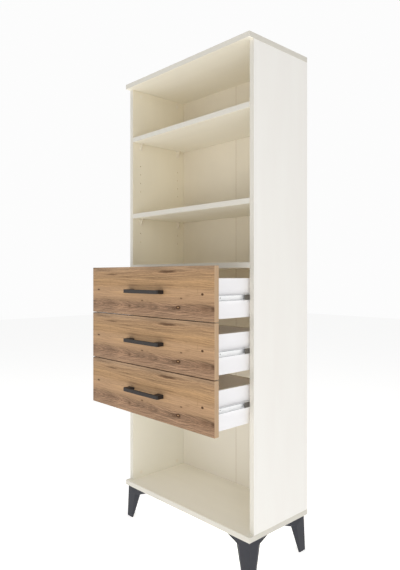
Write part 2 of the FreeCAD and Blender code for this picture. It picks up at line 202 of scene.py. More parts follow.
melamine = {
    "specular": 0.35,
    "roughness": (0.5, 0.6),
    "cloudDetail": 3.0,
    "grainDetail": 2.0,
    "grainShare": 0.02,           # size of the press grain, as a share of the clouds' size
    "relief": (0.25, 0.06),
    "bayFade": 80.0,              # millimetres over which tones change, up and down from the low bay
    "shelfFade": 20.0,            # and down from the top of the fixed shelf
}

bodyTones = {
    # light, dark. The faces are lit and shaded copies of one cream laminate: outer is its own tone,
    # inner and flat are deeper and warmer as painted shade in the bays, flat less so as painted light
    # from below, bottom is paler as painted light, and edge is darker as painted shade on front edges
    "outer": ((243, 241, 236), (241, 238, 233)),
    "inner": ((230, 223, 204), (227, 220, 201)),
    "flat": ((238, 233, 219), (235, 230, 216)),
    "bottom": ((247, 244, 234), (244, 241, 231)),
    "edge": ((215, 211, 201), (212, 208, 198)),
    "back": ((224, 216, 199), (221, 213, 196)),
    # painted light behind the drawers, painted light in the low bay
    "innerPaintedLightByHeight": ((247, 241, 229), (230, 227, 215)),
    "backPaintedLightByHeight": ((245, 239, 226), (226, 221, 209)),
}

cloudSizes = {
    # millimetres across, deep and high
    "upright": (60, 60, 420),
    "level": (420, 60, 60),
    "edge": (200, 30, 200),
    "back": (90, 90, 90),
}


def paintedLightByHeight(tree, colour, paintedLightBehindDrawers, low):
    # Painted light: a paler tone behind the drawers, and a paler, less yellow one in the low bay
    height = heightInMillimetres(tree)
    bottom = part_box("drawer_front_3")[0].z / mm
    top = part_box("fixed_shelf")[1].z / mm
    underShelf = stepped(tree, height, top, top - melamine["shelfFade"])
    overBay = stepped(tree, height, bottom, bottom + melamine["bayFade"])
    inBay = stepped(tree, height, bottom, bottom - melamine["bayFade"])
    colour = mixColour(tree, inBay, colour, tone(*low))
    return mixColour(tree, calculate(tree, "MULTIPLY", underShelf, overBay), colour, tone(*paintedLightBehindDrawers))


def laminate(name, tones, cloudSize, paintedLightTones=None):
    grainSize = [size * melamine["grainShare"] for size in cloudSize]
    finish = dict(melamine, cloudSize=cloudSize, grainSize=grainSize)
    material, tree, surface, colour = cloudy(name, finish, tones)
    if paintedLightTones:
        addColour(tree, surface, paintedLightByHeight(tree, colour, *paintedLightTones))
    return material


outerLaminate = laminate("outerLaminate", bodyTones["outer"], cloudSizes["upright"])
innerLaminate = laminate("innerLaminate", bodyTones["inner"], cloudSizes["upright"],
                         bodyTones["innerPaintedLightByHeight"])
flatLaminate = laminate("flatLaminate", bodyTones["flat"], cloudSizes["level"],
                        bodyTones["innerPaintedLightByHeight"])
bottomLaminate = laminate("bottomLaminate", bodyTones["bottom"], cloudSizes["level"])
# the edge band's darker tone is painted shade on the front-facing edges
edgeBand = laminate("edgeBand", bodyTones["edge"], cloudSizes["edge"])
backLacquer = laminate("backLacquer", bodyTones["back"], cloudSizes["back"],
                       bodyTones["backPaintedLightByHeight"])
print("laminates made")


# Bare wood: the unpainted side of the back sheets, and the core in drillings and grooves

bareWood = {
    "specular": 0.2,
    "roughness": 0.75,
    "fibreSize": (2.5, 2.5, 2.5),
    "fibreDetail": (4.0, 0.7),    # octaves of the noise, and how rough they are
    "cloudSize": (90, 90, 90),
    "fibreShare": 0.6,
    "cloudShare": 0.4,
    "blendStops": ((0.35, 0.0), (0.65, 1.0)),
    "relief": (0.4, 0.08),
    "rawTones": ((164, 128, 92), (146, 112, 78)),
    "coreTones": ((212, 197, 163), (197, 182, 148)),
}


def pressedWood(name, tones):
    material, tree, surface = newMaterial(name, bareWood)
    fibres = noise(tree, millimetres(tree, stretch=bareWood["fibreSize"]), *bareWood["fibreDetail"])
    clouds = noise(tree, millimetres(tree, stretch=bareWood["cloudSize"]))
    both = calculate(tree, "MULTIPLY", clouds, bareWood["cloudShare"])
    both = calculate(tree, "MULTIPLY_ADD", fibres, bareWood["fibreShare"], both)
    addColour(tree, surface, between(tree, ramp(tree, both, bareWood["blendStops"]), tones))
    addRoughness(tree, surface, bareWood["roughness"])
    addRelief(tree, surface, bareWood["relief"], fibres)
    return material


rawBoard = pressedWood("rawBoard", bareWood["rawTones"])
boardCore = pressedWood("boardCore", bareWood["coreTones"])
print("bare wood made")


# Oak decor of the drawer fronts, in millimetres from the middle of a front

oak = {
    "specular": 0.16,
    "roughness": (0.44, 0.58),
    "relief": (0.35, 0.12),
    "fineRelief": 0.5,            # the fine grain stands up and the pores are sunk
    "poreRelief": -1.0,
    # length and height of each figure of the grain, octaves of its noise and their roughness
    "waves": (210, 55, 2.0, 0.5),
    "ripple": (34, 9, 2.0, 0.5),
    "broad": (300, 14, 3.0, 0.5),
    "broadArches": (220, 9, 3.0, 0.5),
    "fine": (230, 3.8, 4.0, 0.65),
    "fineArches": (110, 3.2, 4.0, 0.7),
    "lines": (260, 2.3, 2.0, 0.5),
    "mottle": (20, 3.4, 3.0, 0.6),
    "pores": (15, 0.9, 2.0, 0.5),
    # share of each figure
    "broadShare": 0.22,
    "fineShare": 0.46,
    "lineShare": 0.12,
    "mottleShare": 0.2,
    "streakShare": 0.5,
    "poreShare": 0.4,
    # where each figure starts and is full, in the range of its noise
    "lineStops": ((0.44, 0.0), (0.56, 1.0)),
    "streakStops": ((0.3, 1.0), (0.44, 0.0)),
    "poreStops": ((0.6, 0.0), (0.72, 1.0)),
    "grainDepth": 1.9,
    "wander": 12.0,               # how far the bands of tone wander up and down
    "rippleRise": 5.0,            # and how far the small ripple lifts all lines
    "lowerZone": (-24.0, -44.0),  # the grain folds into arches below this
    "foldLine": -62.0,            # height of the fold
    "foldSlope": 0.13,            # slant of the arches along the board
    "foldRound": 40.0,            # square millimetres, rounds the fold off
    "tones": (
        # height, tone, contrast of the grain
        (-96, (150, 120, 94), 1.7), (-79, (152, 121, 95), 2.0), (-70, (141, 111, 86), 2.4),
        (-58, (136, 107, 83), 2.6), (-47, (144, 114, 88), 2.2), (-38, (159, 127, 96), 1.3),
        (-20, (173, 139, 106), 0.7), (9, (176, 142, 107), 0.75), (25, (165, 131, 94), 1.15),
        (42, (173, 138, 100), 1.15), (56, (162, 130, 95), 1.3), (75, (164, 131, 97), 1.35),
        (98, (159, 131, 103), 1.5),
    ),
    "streakTone": (106, 74, 46),
    "knotTone": (72, 43, 20),
    "poreTone": (102, 70, 44),
    "paleTone": (198, 158, 108),
    # x, z, half length, half height, depth, crispness
    "marks": (
        (138, 81, 58, 5.4, 0.85, 0.5),
        (146, 83, 110, 6.0, 0.34, 0.0),
        (-244, 70, 42, 3.0, 0.75, 0.3),
        (-130, 60, 60, 2.2, 0.55, 0.2),
        (50, 56, 56, 1.8, 0.45, 0.2),
        (152, 28, 44, 2.2, 0.52, 0.2),
        (-95, 25, 70, 4.5, 0.32, 0.0),
        (-351, 2, 10, 4.0, 0.92, 0.8),
        (-25, -38, 8, 3.2, 0.8, 0.7),
        (219, -21, 7, 3.0, 0.75, 0.7),
        (336, -3, 7, 4.4, 1.0, 0.9),
        (254, -10, 14, 5.0, 0.3, 0.0),
        (201, -57, 15, 7.5, 1.0, 0.95),
        (176, -57, 22, 2.6, 0.6, 0.3),
        (-249, -58, 44, 4.5, 0.5, 0.1),
        (-113, -64, 10, 9.0, 0.6, 0.2),
        (34, -62, 9, 9.0, 0.3, 0.2),
        (281, -44, 50, 2.6, 0.4, 0.2),
        (300, -76, 60, 2.6, 0.34, 0.1),
        (350, -56, 50, 12.0, 0.55, 0.0),
        (392, -55, 16, 9.0, 0.8, 0.3),
        (-20, -84, 60, 3.0, 0.34, 0.1),
        (-259, 41, 1.6, 16, 0.26, 0.2),
        (311, 8, 1.6, 9, 0.26, 0.2),
        (-60, 92, 120, 2.0, 0.26, 0.0),
        (-330, 90, 60, 1.8, 0.3, 0.1),
    ),
    "markFade": 1.6,              # power with which a soft mark fades
    "crispRim": (1.5, 0.5),       # squared distances over which a crisp mark sets in
    "knotFrom": 0.4,              # the grain gives way round marks as crisp as this
    "give": -0.7,                 # how strongly the lines spread round a knot
    "giveReach": 0.35,            # and how soon that ends, with the squared distance
    # x, z, half length, half height, depth
    "paleMarks": (
        (285, 42, 120, 4.0, 0.28),
        (-150, -12, 90, 8.0, 0.3),
        (120, -12, 80, 7.0, 0.25),
        (-330, 45, 70, 6.0, 0.25),
    ),
    "knotEye": (201, -57, 5.5, 2.4, 0.6),
    "eyeRim": (1.6, 0.4),
}


def figure(tree, x, z, name):
    # A noise drawn out along the grain
    length, height, detail, roughness = oak[name]
    place = addNode(tree, "CombineXYZ", {0: calculate(tree, "DIVIDE", x, length),
                                         2: calculate(tree, "DIVIDE", z, height)})
    return noise(tree, place.outputs[0], detail, roughness)


def waving(tree, x, z, name):
    # The same about nought
    return calculate(tree, "SUBTRACT", figure(tree, x, z, name), noiseMiddle)


def fromMark(tree, x, z, markX, markZ, halfLong, halfHigh):
    # Squared distance from a mark, 1 at the rim of its ellipse
    across = calculate(tree, "DIVIDE", calculate(tree, "SUBTRACT", x, markX), halfLong)
    up = calculate(tree, "DIVIDE", calculate(tree, "SUBTRACT", z, markZ), halfHigh)
    return calculate(tree, "MULTIPLY_ADD", across, across, calculate(tree, "POWER", up, 2.0))


def fading(tree, squared):
    nearness = calculate(tree, "DIVIDE", 1.0, calculate(tree, "ADD", 1.0, squared))
    return calculate(tree, "POWER", nearness, oak["markFade"])


def aroundKnot(tree, z, markZ, squared, flow):
    # The grain's coordinate, with its lines pushed away from a knot
    drop = calculate(tree, "SUBTRACT", z, markZ)
    reach = calculate(tree, "MULTIPLY_ADD", squared, oak["giveReach"], 1.0)
    return calculate(tree, "MULTIPLY_ADD", calculate(tree, "DIVIDE", drop, reach), oak["give"], flow)


def oakMarks(tree, x, z):
    # Knots and dark streaks, and how the grain gives way round them
    darkness = 0.0
    flow = z
    for markX, markZ, halfLong, halfHigh, depth, crispness in oak["marks"]:
        squared = fromMark(tree, x, z, markX, markZ, halfLong, halfHigh)
        soft = calculate(tree, "MULTIPLY", fading(tree, squared), 1 - crispness)
        crisp = stepped(tree, squared, *oak["crispRim"])
        shape = calculate(tree, "MULTIPLY_ADD", crisp, crispness, soft)
        darkness = calculate(tree, "MAXIMUM", calculate(tree, "MULTIPLY", shape, depth), darkness)
        if crispness >= oak["knotFrom"]:
            flow = aroundKnot(tree, z, markZ, squared, flow)
    return darkness, flow


def oakArches(tree, x, z):
    # A coordinate that folds over in the lower part of the board, where the grain makes arches
    drop = calculate(tree, "SUBTRACT", z, oak["foldLine"])
    folded = calculate(tree, "SQRT", calculate(tree, "MULTIPLY_ADD", drop, drop, oak["foldRound"]))
    return calculate(tree, "MULTIPLY_ADD", x, oak["foldSlope"], folded)


def oakFine(tree, x, flow, folded, low):
    return mixColour(tree, low, figure(tree, x, flow, "fine"), figure(tree, x, folded, "fineArches"))


def oakGrain(tree, x, height, flow, folded, low, fine):
    # All figures of the grain together, about nought
    broad = mixColour(tree, low, figure(tree, x, flow, "broad"), figure(tree, x, folded, "broadArches"))
    lines = ramp(tree, figure(tree, x, flow, "lines"), oak["lineStops"])
    mottle = figure(tree, x, height, "mottle")
    grain = calculate(tree, "MULTIPLY", fine, oak["fineShare"])
    grain = calculate(tree, "MULTIPLY_ADD", broad, oak["broadShare"], grain)
    grain = calculate(tree, "MULTIPLY_ADD", lines, oak["lineShare"], grain)
    grain = calculate(tree, "MULTIPLY_ADD", mottle, oak["mottleShare"], grain)
    return calculate(tree, "SUBTRACT", grain, noiseMiddle)


def oakTone(tree, band, grain, frontHeight):
    # Bands of tone up the board, lighter and darker with the grain. The front's middle lies at
    # 0.5 on the ramps, and the contrasts are halved on theirs and doubled after it
    along = calculate(tree, "MULTIPLY_ADD", band, 1 / frontHeight, 0.5)
    tones = [(level / frontHeight + 0.5, tone(*colour)) for level, colour, contrast in oak["tones"]]
    halves = [(level / frontHeight + 0.5, contrast / 2) for level, colour, contrast in oak["tones"]]
    swing = calculate(tree, "MULTIPLY", ramp(tree, along, halves), 2 * oak["grainDepth"])
    lift = calculate(tree, "MULTIPLY_ADD", grain, swing, 1.0)
    inputs = {0: ramp(tree, along, tones), "Scale": lift}
    return addNode(tree, "VectorMath", inputs, operation="SCALE").outputs[0]


def oakPale(tree, x, z, colour):
    # Faint pale places in the wood
    for *mark, depth in oak["paleMarks"]:
        glow = calculate(tree, "MULTIPLY", fading(tree, fromMark(tree, x, z, *mark)), depth)
        colour = mixColour(tree, glow, colour, tone(*oak["paleTone"]))
    return colour


def oakEye(tree, x, z, colour):
    # The pale wood inside the largest knot
    *mark, depth = oak["knotEye"]
    eye = stepped(tree, fromMark(tree, x, z, *mark), *oak["eyeRim"])
    return mixColour(tree, calculate(tree, "MULTIPLY", eye, depth), colour, tone(*oak["paleTone"]))


def oakDecor(name, low, high):
    material, tree, surface = newMaterial(name, oak)
    parts = addNode(tree, "SeparateXYZ", {0: millimetres(tree, (low + high) / 2)})
    x, height = parts.outputs["X"], parts.outputs["Z"]
    waves = waving(tree, x, height, "waves")
    ripple = waving(tree, x, height, "ripple")
    z = calculate(tree, "MULTIPLY_ADD", ripple, oak["rippleRise"], height)
    darkness, flow = oakMarks(tree, x, z)
    flow = calculate(tree, "MULTIPLY_ADD", waves, 2 * oak["wander"], flow)
    folded = calculate(tree, "MULTIPLY_ADD", waves, oak["wander"], oakArches(tree, x, z))
    band = calculate(tree, "MULTIPLY_ADD", waves, oak["wander"], z)
    lower = stepped(tree, band, *oak["lowerZone"])
    fine = oakFine(tree, x, flow, folded, lower)
    grain = oakGrain(tree, x, height, flow, folded, lower, fine)

    colour = oakPale(tree, x, z, oakTone(tree, band, grain, (high.z - low.z) / mm))
    streaks = calculate(tree, "MULTIPLY", ramp(tree, fine, oak["streakStops"]), oak["streakShare"])
    colour = mixColour(tree, streaks, colour, tone(*oak["streakTone"]))
    pores = ramp(tree, figure(tree, x, flow, "pores"), oak["poreStops"])
    sunk = calculate(tree, "MULTIPLY", pores, oak["poreShare"])
    colour = mixColour(tree, sunk, colour, tone(*oak["poreTone"]))
    colour = mixColour(tree, darkness, colour, tone(*oak["knotTone"]))
    addColour(tree, surface, oakEye(tree, x, z, colour))
    addRoughness(tree, surface, oak["roughness"], fine)
    height = calculate(tree, "MULTIPLY", pores, oak["poreRelief"])
    height = calculate(tree, "MULTIPLY_ADD", fine, oak["fineRelief"], height)
    addRelief(tree, surface, oak["relief"], height)
    return material


# Edge bands of the fronts

frontBand = {
    "specular": 0.35,
    "roughness": 0.5,
    "streakSize": (14, 2.2, 90),
    "streakDetail": (4.0, 0.6),
    "relief": (0.2, 0.08),
    "sideTones": ((193, 163, 130), (176, 146, 115)),
    # painted shade: the top and bottom edges of the fronts take the darker tones, for the shade in the
    # gaps
    "gapShadeTones": ((128, 90, 54), (110, 74, 42)),
}


def oakEdge(name, tones):
    material, tree, surface = newMaterial(name, frontBand)
    place = millimetres(tree, stretch=frontBand["streakSize"])
    streaks = noise(tree, place, *frontBand["streakDetail"])
    addColour(tree, surface, between(tree, ramp(tree, streaks, cloudStops), tones))
    addRoughness(tree, surface, frontBand["roughness"])
    addRelief(tree, surface, frontBand["relief"], streaks)
    return material


oakBand = oakEdge("oakBand", frontBand["sideTones"])
oakBandGapShade = oakEdge("oakBandGapShade", frontBand["gapShadeTones"])
print("oak bands made")


# Smooth foil on the boards of a drawer box

foil = {
    "specular": 0.4,
    "roughness": (0.38, 0.46),
    "cloudSize": (160, 160, 30),
    "grainSize": (3, 3, 0.6),
    "relief": (0.15, 0.04),
    "outsideTones": ((245, 244, 246), (242, 241, 243)),
    # painted light: the inside faces are paler and warmer than the outside, to lift the shade inside the
    # boxes
    "insidePaintedLightTones": ((252, 247, 240), (249, 244, 237)),
    "edgeTones": ((238, 232, 216), (231, 225, 208)),
}
drawerWhite = cloudy("drawerWhite", foil, foil["outsideTones"])[0]
drawerInsidePaintedLight = cloudy("drawerInsidePaintedLight", foil, foil["insidePaintedLightTones"])[0]
drawerEdge = cloudy("drawerEdge", foil, foil["edgeTones"])[0]
print("drawer foils made")


# Zinc on the rolled rails: drawn lines along the rail and a faint bloom

zinc = {
    "metallic": 0.45,
    "roughness": (0.5, 0.62),
    "lineSize": (0.6, 70, 0.6),
    "bloomSize": (12, 30, 12),
    "bloomDetail": 2.0,
    "lineShare": 0.5,
    "bloomShare": 0.5,
    "relief": (0.05, 0.01),
    "railTones": ((250, 250, 250), (242, 243, 244)),
    # painted shade: the lips' cut edges take darker tones, for shade lines along the rail's top and
    # bottom
    "lipShadeTones": ((186, 188, 191), (168, 170, 174)),
}


def zincSteel(name, tones):
    material, tree, surface = newMaterial(name, zinc)
    lines = noise(tree, millimetres(tree, stretch=zinc["lineSize"]))
    bloom = noise(tree, millimetres(tree, stretch=zinc["bloomSize"]), zinc["bloomDetail"])
    blend = calculate(tree, "MULTIPLY", bloom, zinc["bloomShare"])
    blend = calculate(tree, "MULTIPLY_ADD", lines, zinc["lineShare"], blend)
    addColour(tree, surface, between(tree, ramp(tree, blend, cloudStops), tones))
    addRoughness(tree, surface, zinc["roughness"], blend)
    addRelief(tree, surface, zinc["relief"], lines)
    return material


railZinc = zincSteel("railZinc", zinc["railTones"])
lipShadeZinc = zincSteel("lipShadeZinc", zinc["lipShadeTones"])


# Oiled, browned steel sheet of the ball cages, with bright bands near its top and bottom as a painted
# highlight

cageSteel = {
    "metallic": 0.3,
    "roughness": (0.42, 0.58),
    "cloudSize": (4, 12, 4),
    "tones": ((108, 103, 97), (90, 85, 80)),
    "highlightTone": (214, 213, 210),
    "brightFrom": 0.38,           # share of the cage's height, from its middle, where it turns bright
    "brightFade": 0.6,            # millimetres to either side of that
}


def darkSteel(name, low, high):
    material, tree, surface, brown = cloudy(name, cageSteel, cageSteel["tones"])
    middle = (low.z + high.z) / 2 / mm
    highlightAt = (high.z - low.z) / mm * cageSteel["brightFrom"]
    away = calculate(tree, "SUBTRACT", heightInMillimetres(tree), middle)
    away = calculate(tree, "ABSOLUTE", away)
    bright = stepped(tree, away, highlightAt - cageSteel["brightFade"], highlightAt + cageSteel["brightFade"])
    addColour(tree, surface, mixColour(tree, bright, brown, tone(*cageSteel["highlightTone"])))
    return material


# Fine-textured powder coat of the handles and moulding of the legs

anthracite = {
    "specular": 0.28,
    "roughness": (0.44, 0.56),
    "cloudSize": (18, 18, 18),
    "grainSize": (0.7, 0.7, 0.7),
    "relief": (0.35, 0.05),
    "handleTones": ((44, 38, 35), (35, 30, 28)),
    "legTones": ((53, 54, 61), (47, 48, 55)),
}
handleCoat = cloudy("handleCoat", anthracite, anthracite["handleTones"])[0]
legMoulding = cloudy("legMoulding", anthracite, anthracite["legTones"])[0]


# Screws and cams, dowels, shelf supports and cover caps

screwFinish = {
    "metallic": 1.0,
    "roughness": (0.24, 0.4),
    "cloudSize": (3, 3, 3),
    "tones": ((206, 206, 204), (176, 177, 178)),
}
fastenerZinc = cloudy("fastenerZinc", screwFinish, screwFinish["tones"])[0]

dowelFinish = {
    "roughness": 0.65,
    "cloudSize": (2, 2, 9),
    "tones": ((216, 178, 134), (188, 146, 104)),
}
dowelBeech = cloudy("dowelBeech", dowelFinish, dowelFinish["tones"])[0]

plastic = {
    "specular": 0.4,
    "roughness": (0.36, 0.48),
    "cloudSize": (12, 12, 12),
    "glowThrough": 0.15,
    "glowReach": (0.004, 0.004, 0.003),  # metres, by colour
    "supportTones": ((229, 222, 206), (224, 216, 200)),
    "capTones": ((231, 225, 210), (227, 221, 206)),
}


def mouldedPlastic(name, tones):
    material, tree, surface, colour = cloudy(name, plastic, tones)
    surface.inputs["Subsurface Weight"].default_value = plastic["glowThrough"]
    surface.inputs["Subsurface Radius"].default_value = plastic["glowReach"]
    return material


supportPlastic = mouldedPlastic("supportPlastic", plastic["supportTones"])
capPlastic = mouldedPlastic("capPlastic", plastic["capTones"])


# Brown fabric tape over the seam of the back sheets: fine threads both ways. Its brown tone darkens
# the seam line as painted shade in the gap

tape = {
    "specular": 0.15,
    "roughness": 0.8,
    "cloudSize": (20, 20, 60),
    "threadSize": (4, 4, 4),
    "relief": (0.3, 0.05),
    "tones": ((166, 143, 117), (152, 130, 104)),
}


def threads(tree, way):
    inputs = {"Vector": millimetres(tree, stretch=tape["threadSize"]), "Scale": 1.0}
    return addNode(tree, "TexWave", inputs, bands_direction=way).outputs["Fac"]


def wovenTape(name):
    material, tree, surface, colour = cloudy(name, tape, tape["tones"])
    weave = calculate(tree, "ADD", threads(tree, "X"), threads(tree, "Z"))
    addRelief(tree, surface, tape["relief"], weave)
    return material


seamShadeTape = wovenTape("seamShadeTape")
print("metal, plastic and tape made")


# How pieces are made

shaping = {
    "mergeGap": 0.01 * mm,
    "flatAngle": 1,               # degrees between faces that count as one
    "sharpAngle": 30,             # degrees from which an edge counts as sharp
    "facing": 0.5,                # a face looks along an axis from this much of its normal
    "square": 0.9,                # and squarely so from this much
}
facing = shaping["facing"]


def meshOf(nodeName):
    # A merged copy of a CAD node, with its flat faces whole again
    work = bmesh.new()
    work.from_mesh(nodes[nodeName].data)
    bmesh.ops.remove_doubles(work, verts=work.verts, dist=shaping["mergeGap"])
    bmesh.ops.dissolve_limit(work, angle_limit=math.radians(shaping["flatAngle"]), verts=work.verts,
                             edges=work.edges)
    return work


def near(first, second, times=1):
    return abs(first - second) < shaping["mergeGap"] * times


def isBoxEdge(edge, low, high):
    # Whether an edge runs along an edge of the piece's box, and so lies on two of its sides
    shared = 0
    for axis in range(3):
        ends = [vert.co[axis] for vert in edge.verts]
        shared += any(all(near(end, limit[axis]) for end in ends) for limit in (low, high))
    return shared >= 2


def sharpEdges(work, angle=shaping["sharpAngle"]):
    return [edge for edge in work.edges
            if len(edge.link_faces) == 2 and edge.calc_face_angle() > math.radians(angle)]


def longerThan(edges, least):
    return [edge for edge in edges if edge.calc_length() > least]


def rounded(work, edges, width, segments=2):
    bmesh.ops.bevel(work, geom=edges, offset=width, offset_type="OFFSET", segments=segments,
                    profile=0.5, affect="EDGES", clamp_overlap=True, material=-1)


def makePiece(work, name, body, materials, replaced):
    mesh = bpy.data.meshes.new(name)
    work.to_mesh(mesh)
    work.free()
    for material in materials:
        mesh.materials.append(material)
    piece = link(bpy.data.objects.new(name, mesh))
    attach(piece, body)
    if replaced:
        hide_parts(replaced)


def paint(nodeName, material):
    # A CAD node keeps its shape and takes a better material
    slots = nodes[nodeName].material_slots
    for slot in slots:
        slot.material = material
    if not slots:
        nodes[nodeName].data.materials.append(material)


# Boards: their long outer edges are eased, each outer face takes its own finish, and drillings
# and grooves show the core

boardEase = {
    "body": 0.8 * mm,
    "backSheet": 1.0 * mm,
    "drawerBox": 0.7 * mm,
}


def board(nodeName, name, body, materials, pickMaterial, ease=boardEase["body"]):
    work = meshOf(nodeName)
    low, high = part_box(nodeName)
    rounded(work, [edge for edge in work.edges if isBoxEdge(edge, low, high)], ease)
    work.normal_update()
    for face in work.faces:
        middle = face.calc_center_median()
        inside = all(low[axis] + ease < middle[axis] < high[axis] - ease for axis in range(3))
        face.material_index = len(materials) if inside else pickMaterial(face.normal)
    makePiece(work, name, body, materials + [boardCore], nodeName)


bodyFinish = [innerLaminate, edgeBand, outerLaminate]
board("side_left", "sideBoardLeft", "body", bodyFinish,
      lambda normal: 1 if normal.y < -facing else 2 if normal.x < -facing else 0)
board("side_right", "sideBoardRight", "body", bodyFinish,
      lambda normal: 1 if normal.y < -facing else 2 if normal.x > facing else 0)
panelFinish = [flatLaminate, edgeBand, outerLaminate]
board("top_panel", "topBoard", "body", panelFinish,
      lambda normal: 1 if abs(normal.z) < facing else 2 if normal.z > 0 else 0)
board("bottom_panel", "bottomBoard", "body", [bottomLaminate, edgeBand],
      lambda normal: 1 if abs(normal.z) < facing else 0)
for shelf, name in (("fixed_shelf", "fixedShelfBoard"), ("shelf_middle", "middleShelfBoard"),
                    ("shelf_upper", "upperShelfBoard")):
    board(shelf, name, "body", panelFinish,
          lambda normal: 1 if normal.y < -facing else 0)
for sheet, name in (("back_left", "backSheetLeft"), ("back_right", "backSheetRight")):
    board(sheet, name, "body", [backLacquer, rawBoard],
          lambda normal: 1 if normal.y > facing or abs(normal.x) > facing else 0,
          boardEase["backSheet"])
paint("back_tape", seamShadeTape)
print("body boards made")


# Round cream caps that hide the cams in the body

coverCap = {
    "radius": 8.5 * mm,
    "height": 1.0 * mm,
    "ease": 0.5 * mm,
    "easeSteps": 3,
    "flats": 32,
    "nearTimes": 10,              # merge gaps within which a cam's end lies on its board
}


def camFaces():
    # The exposed end of each cam, as its middle and the way it faces
    work = meshOf("cam_locks")
    low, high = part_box("fixed_shelf")
    faces = []
    for face in work.faces:
        middle = face.calc_center_median()
        onSide = (near(abs(middle.x), high.x, coverCap["nearTimes"])
                  and abs(face.normal.x) > shaping["square"])
        underShelf = near(middle.z, low.z, coverCap["nearTimes"]) and face.normal.z < -shaping["square"]
        if onSide or underShelf:
            faces.append((middle, face.normal.copy()))
    work.free()
    return faces


def addCoverCaps():
    work = bmesh.new()
    height = coverCap["height"]
    for middle, way in camFaces():
        turn = way.to_track_quat("Z", "Y").to_matrix().to_4x4()
        place = Matrix.Translation(middle + way * height / 2) @ turn
        made = bmesh.ops.create_cone(work, cap_ends=True, segments=coverCap["flats"],
                                     radius1=coverCap["radius"], radius2=coverCap["radius"],
                                     depth=height, matrix=place)
        top = {vert for vert in made["verts"] if near((vert.co - middle).dot(way), height)}
        rim = [edge for edge in work.edges if top.issuperset(edge.verts)]
        rounded(work, rim, coverCap["ease"], coverCap["easeSteps"])
    makePiece(work, "camCoverCaps", "body", [capPlastic], None)


addCoverCaps()
print("cover caps made")


# Screw heads get a driver's socket

socket = {
    "headFlats": (6, 8),
    "leastArea": 28 * mm * mm,    # the ends of dowels and bolts are smaller
    "rim": 0.5,                   # share of the head's radius
    "wall": 0.06,                 # the same, by which the socket narrows
    "depth": 1.3 * mm,
}


def withSockets(nodeName, name, body, material):
    work = meshOf(nodeName)
    heads = [face for face in work.faces
             if len(face.verts) in socket["headFlats"] and face.calc_area() > socket["leastArea"]]
    for head in heads:
        radius = math.sqrt(head.calc_area() / math.pi)
        bmesh.ops.inset_individual(work, faces=[head], thickness=radius * socket["rim"])
        bmesh.ops.inset_individual(work, faces=[head], thickness=radius * socket["wall"],
                                   depth=-socket["depth"])
    makePiece(work, name, body, [material], nodeName)


# Drawers

slideRail = {
    "ease": 0.25 * mm,
    "longBend": 60 * mm,          # rails are eased only along their length
    "lip": 4 * mm,                # the bare cut edges of the lips are narrower than this
    "lipArea": 60 * mm * mm,      # and larger than this
}

handleEase = 0.5 * mm


def rail(nodeName, name, body):
    work = meshOf(nodeName)
    rounded(work, longerThan(sharpEdges(work), slideRail["longBend"]), slideRail["ease"])
    work.normal_update()
    for face in work.faces:
        heights = [vert.co.z for vert in face.verts]
        narrow = max(heights) - min(heights) < slideRail["lip"]
        isLip = narrow and face.calc_area() > slideRail["lipArea"]
        # the lips' cut edges take the darker zinc as painted shade lines
        face.material_index = 1 if isLip and abs(face.normal.x) > shaping["square"] else 0
    makePiece(work, name, body, [railZinc, lipShadeZinc], nodeName)


def drawerFront(number, body):
    nodeName = f"drawer_front_{number}"
    decor = oakDecor(f"oakDecor{number}", *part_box(nodeName))
    # the top and bottom edges take the darker band as painted shade of the gaps between fronts
    board(nodeName, f"frontBoard{number}", body,
          [decor, oakBand, drawerInsidePaintedLight, oakBandGapShade],
          lambda normal: 0 if normal.y < -facing else 2 if normal.y > facing
          else 3 if abs(normal.z) > facing else 1)


def drawerBox(number, body):
    finish = [drawerWhite, drawerEdge, drawerInsidePaintedLight]
    for side, inward in (("left", 1), ("right", -1)):
        board(f"box_side_{side}_{number}", f"boxSide{side.title()}{number}", body, finish,
              lambda normal: 1 if abs(normal.z) > facing else 2 if normal.x * inward > facing else 0,
              boardEase["drawerBox"])
    board(f"box_back_{number}", f"boxBack{number}", body, finish,
          lambda normal: 1 if normal.z > facing else 2 if normal.y < -facing else 0,
          boardEase["drawerBox"])
    paint(f"box_bottom_{number}", drawerInsidePaintedLight)


def drawerSlides(number, body):
    for side in ("left", "right"):
        rail(f"drawer_rail_{side}_{number}", f"drawerRail{side.title()}{number}", body)
        rail(f"body_rail_{side}_{number}", f"bodyRail{side.title()}{number}", "body")
    cages = f"ball_cages_{number}"
    paint(cages, darkSteel(f"cageSteel{number}", *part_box(cages)))


def drawerHandle(number, body):
    nodeName = f"handle_{number}"
    work = meshOf(nodeName)
    rounded(work, sharpEdges(work), handleEase)
    makePiece(work, f"bowHandle{number}", body, [handleCoat], nodeName)


for number in drawerNumbers:
    body = f"drawer_{number}"
    drawerFront(number, body)
    drawerBox(number, body)
    drawerSlides(number, body)
    withSockets(f"box_fasteners_{number}", f"boxFasteners{number}", body, fastenerZinc)
    withSockets(f"handle_screws_{number}", f"handleScrews{number}", body, fastenerZinc)
    drawerHandle(number, body)
print("drawers made")


# Legs, shelf supports and the body's fittings

leg = {
    "ease": 1.2 * mm,
    "easeSteps": 3,
    "ridge": 8,                   # degrees between facets
    "longEdge": 14 * mm,          # shorter edges belong to the screw pockets
    "topMargin": 3 * mm,          # edges that reach nearer to the bottom panel stay sharp
}

support = {
    "ease": 0.5 * mm,
    "longEdge": 10 * mm,          # shorter edges stay sharp
}


